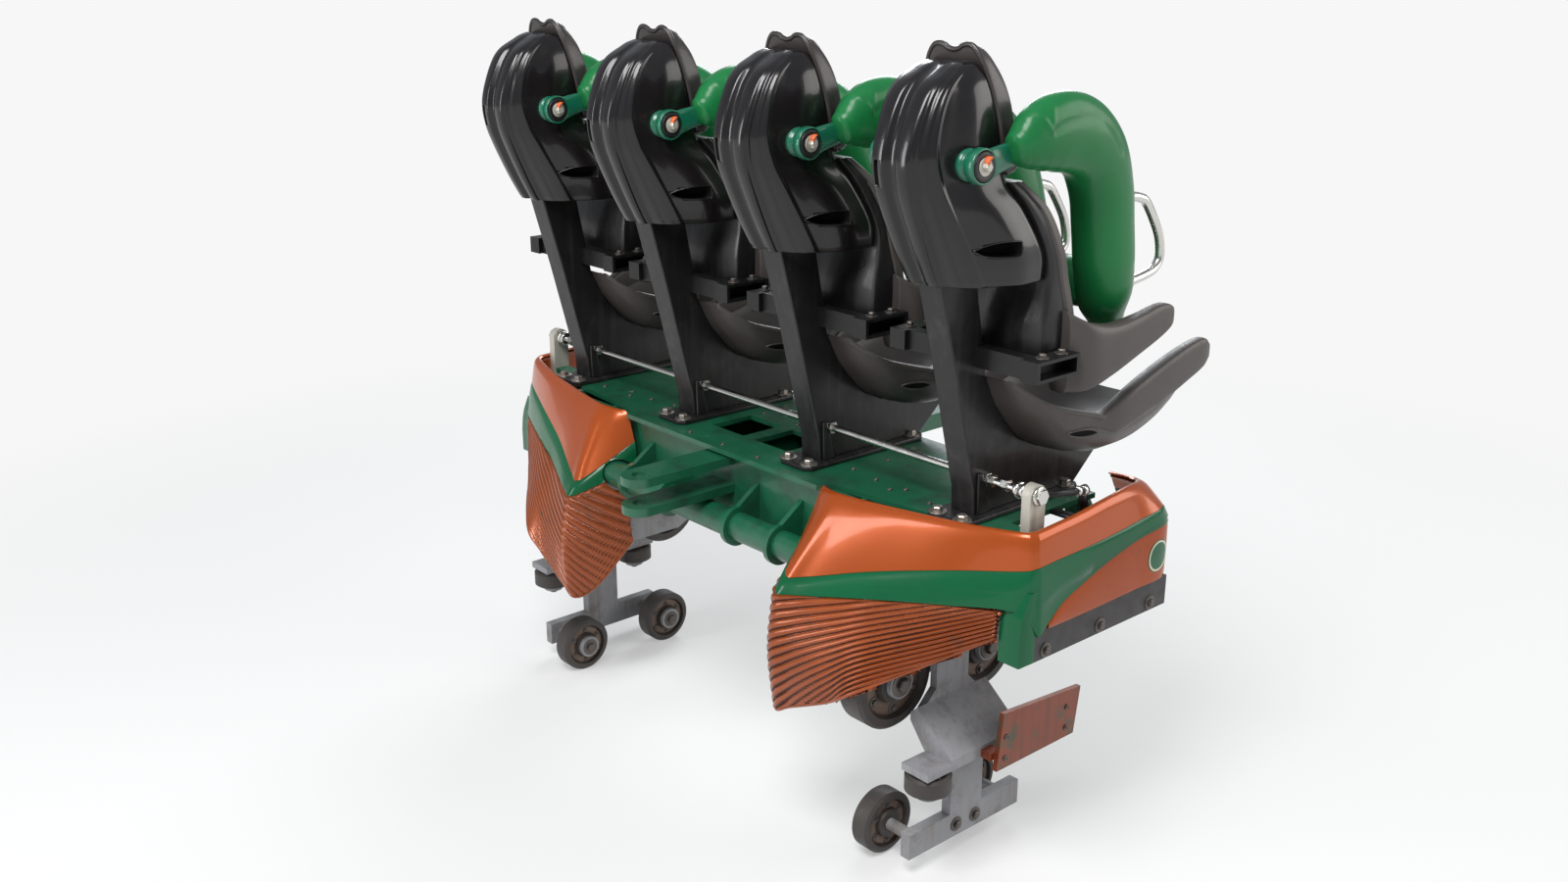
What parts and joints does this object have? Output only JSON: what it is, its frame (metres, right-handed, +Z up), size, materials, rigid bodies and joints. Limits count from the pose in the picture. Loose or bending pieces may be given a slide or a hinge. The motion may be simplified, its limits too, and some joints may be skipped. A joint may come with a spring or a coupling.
{
  "type": "roller coaster car",
  "caption": "Floorless roller coaster car: a row of seats with over-the-shoulder harnesses on leaning posts, copper and green fairings, wheel carriers that clasp the rails.",
  "frame": {"origin": "on the floor under the car's centreline, midway between the front and rear coupling pins", "axes": "+X forward along the track, +Y to the left across the row of seats, +Z up"},
  "size_m": [1.8, 2.192, 2.062],
  "materials": {
    "chassis_green": "gloss",
    "post_black": "satin",
    "bright_steel": "polished",
    "link_steel": "dull",
    "shell_black": "gloss",
    "headrest_dark": "satin",
    "seat_grey": "satin",
    "bracket_black": "satin",
    "harness_green": "satin gloss",
    "arm_green": "gloss",
    "cap_copper": "pearl gloss",
    "band_green": "gloss",
    "rib_copper": "gloss",
    "side_copper": "gloss",
    "bar_steel": "worn",
    "carrier_grey": "satin",
    "wheel_tread": "satin"
  },
  "bodies": {
    "car": {"deck": "chassis_green", "chassis_beam": "chassis_green", "cross_tube": "chassis_green", "drawbar": "chassis_green", "rear_coupling": "chassis_green", "seat_posts": "post_black", "tie_rods": "bright_steel", "link_bars": "link_steel", "seat_shells": "shell_black", "headrests": "headrest_dark", "seat_backs": "seat_grey", "seat_pans": "seat_grey", "seat_brackets": "bracket_black", "fairing_caps": "cap_copper", "fairing_bands": "band_green", "ribbed_panels": "rib_copper", "side_panels": "side_copper", "rub_bars": "bar_steel", "side_brackets": "chassis_green", "carriers": "carrier_grey", "carrier_covers": "side_copper"},
    "restraint_1": {"harness_1": "harness_green", "arms_1": "arm_green", "handles_1": "bright_steel"},
    "restraint_2": {"harness_2": "harness_green", "arms_2": "arm_green", "handles_2": "bright_steel"},
    "restraint_3": {"harness_3": "harness_green", "arms_3": "arm_green", "handles_3": "bright_steel"},
    "restraint_4": {"harness_4": "harness_green", "arms_4": "arm_green", "handles_4": "bright_steel"},
    "road_wheel_rr": {"road_wheel_rr": "wheel_tread"},
    "road_wheel_fr": {"road_wheel_fr": "wheel_tread"},
    "road_wheel_rl": {"road_wheel_rl": "wheel_tread"},
    "road_wheel_fl": {"road_wheel_fl": "wheel_tread"},
    "guide_wheel_rr": {"guide_wheel_rr": "wheel_tread"},
    "guide_wheel_fr": {"guide_wheel_fr": "wheel_tread"},
    "guide_wheel_rl": {"guide_wheel_rl": "wheel_tread"},
    "guide_wheel_fl": {"guide_wheel_fl": "wheel_tread"},
    "upstop_wheel_rr": {"upstop_wheel_rr": "wheel_tread"},
    "upstop_wheel_fr": {"upstop_wheel_fr": "wheel_tread"},
    "upstop_wheel_rl": {"upstop_wheel_rl": "wheel_tread"},
    "upstop_wheel_fl": {"upstop_wheel_fl": "wheel_tread"}
  },
  "joints": [
    {"name": "restraint_1_swing", "type": "hinge", "parent": "car", "child": "restraint_1", "pos_m": [-0.624, -0.8235, 1.811], "axis": [0, -1, 0], "range_deg": [0, 85]},
    {"name": "restraint_2_swing", "type": "hinge", "parent": "car", "child": "restraint_2", "pos_m": [-0.624, -0.2745, 1.811], "axis": [0, -1, 0], "range_deg": [0, 85]},
    {"name": "restraint_3_swing", "type": "hinge", "parent": "car", "child": "restraint_3", "pos_m": [-0.624, 0.2745, 1.811], "axis": [0, -1, 0], "range_deg": [0, 85]},
    {"name": "restraint_4_swing", "type": "hinge", "parent": "car", "child": "restraint_4", "pos_m": [-0.624, 0.8235, 1.811], "axis": [0, -1, 0], "range_deg": [0, 85]},
    {"name": "road_wheel_rr_spin", "type": "hinge", "parent": "car", "child": "road_wheel_rr", "pos_m": [-0.605, -0.7, 0.5], "axis": [0, 1, 0], "continuous": true},
    {"name": "road_wheel_fr_spin", "type": "hinge", "parent": "car", "child": "road_wheel_fr", "pos_m": [-0.275, -0.7, 0.5], "axis": [0, 1, 0], "continuous": true},
    {"name": "road_wheel_rl_spin", "type": "hinge", "parent": "car", "child": "road_wheel_rl", "pos_m": [-0.605, 0.7, 0.5], "axis": [0, 1, 0], "continuous": true},
    {"name": "road_wheel_fl_spin", "type": "hinge", "parent": "car", "child": "road_wheel_fl", "pos_m": [-0.275, 0.7, 0.5], "axis": [0, 1, 0], "continuous": true},
    {"name": "guide_wheel_rr_spin", "type": "hinge", "parent": "car", "child": "guide_wheel_rr", "pos_m": [-0.605, -0.86, 0.27], "axis": [0, 0, 1], "continuous": true},
    {"name": "guide_wheel_fr_spin", "type": "hinge", "parent": "car", "child": "guide_wheel_fr", "pos_m": [-0.275, -0.86, 0.27], "axis": [0, 0, 1], "continuous": true},
    {"name": "guide_wheel_rl_spin", "type": "hinge", "parent": "car", "child": "guide_wheel_rl", "pos_m": [-0.605, 0.86, 0.27], "axis": [0, 0, 1], "continuous": true},
    {"name": "guide_wheel_fl_spin", "type": "hinge", "parent": "car", "child": "guide_wheel_fl", "pos_m": [-0.275, 0.86, 0.27], "axis": [0, 0, 1], "continuous": true},
    {"name": "upstop_wheel_rr_spin", "type": "hinge", "parent": "car", "child": "upstop_wheel_rr", "pos_m": [-0.605, -0.7, 0.085], "axis": [0, 1, 0], "continuous": true},
    {"name": "upstop_wheel_fr_spin", "type": "hinge", "parent": "car", "child": "upstop_wheel_fr", "pos_m": [-0.275, -0.7, 0.085], "axis": [0, 1, 0], "continuous": true},
    {"name": "upstop_wheel_rl_spin", "type": "hinge", "parent": "car", "child": "upstop_wheel_rl", "pos_m": [-0.605, 0.7, 0.085], "axis": [0, 1, 0], "continuous": true},
    {"name": "upstop_wheel_fl_spin", "type": "hinge", "parent": "car", "child": "upstop_wheel_fl", "pos_m": [-0.275, 0.7, 0.085], "axis": [0, 1, 0], "continuous": true}
  ]
}
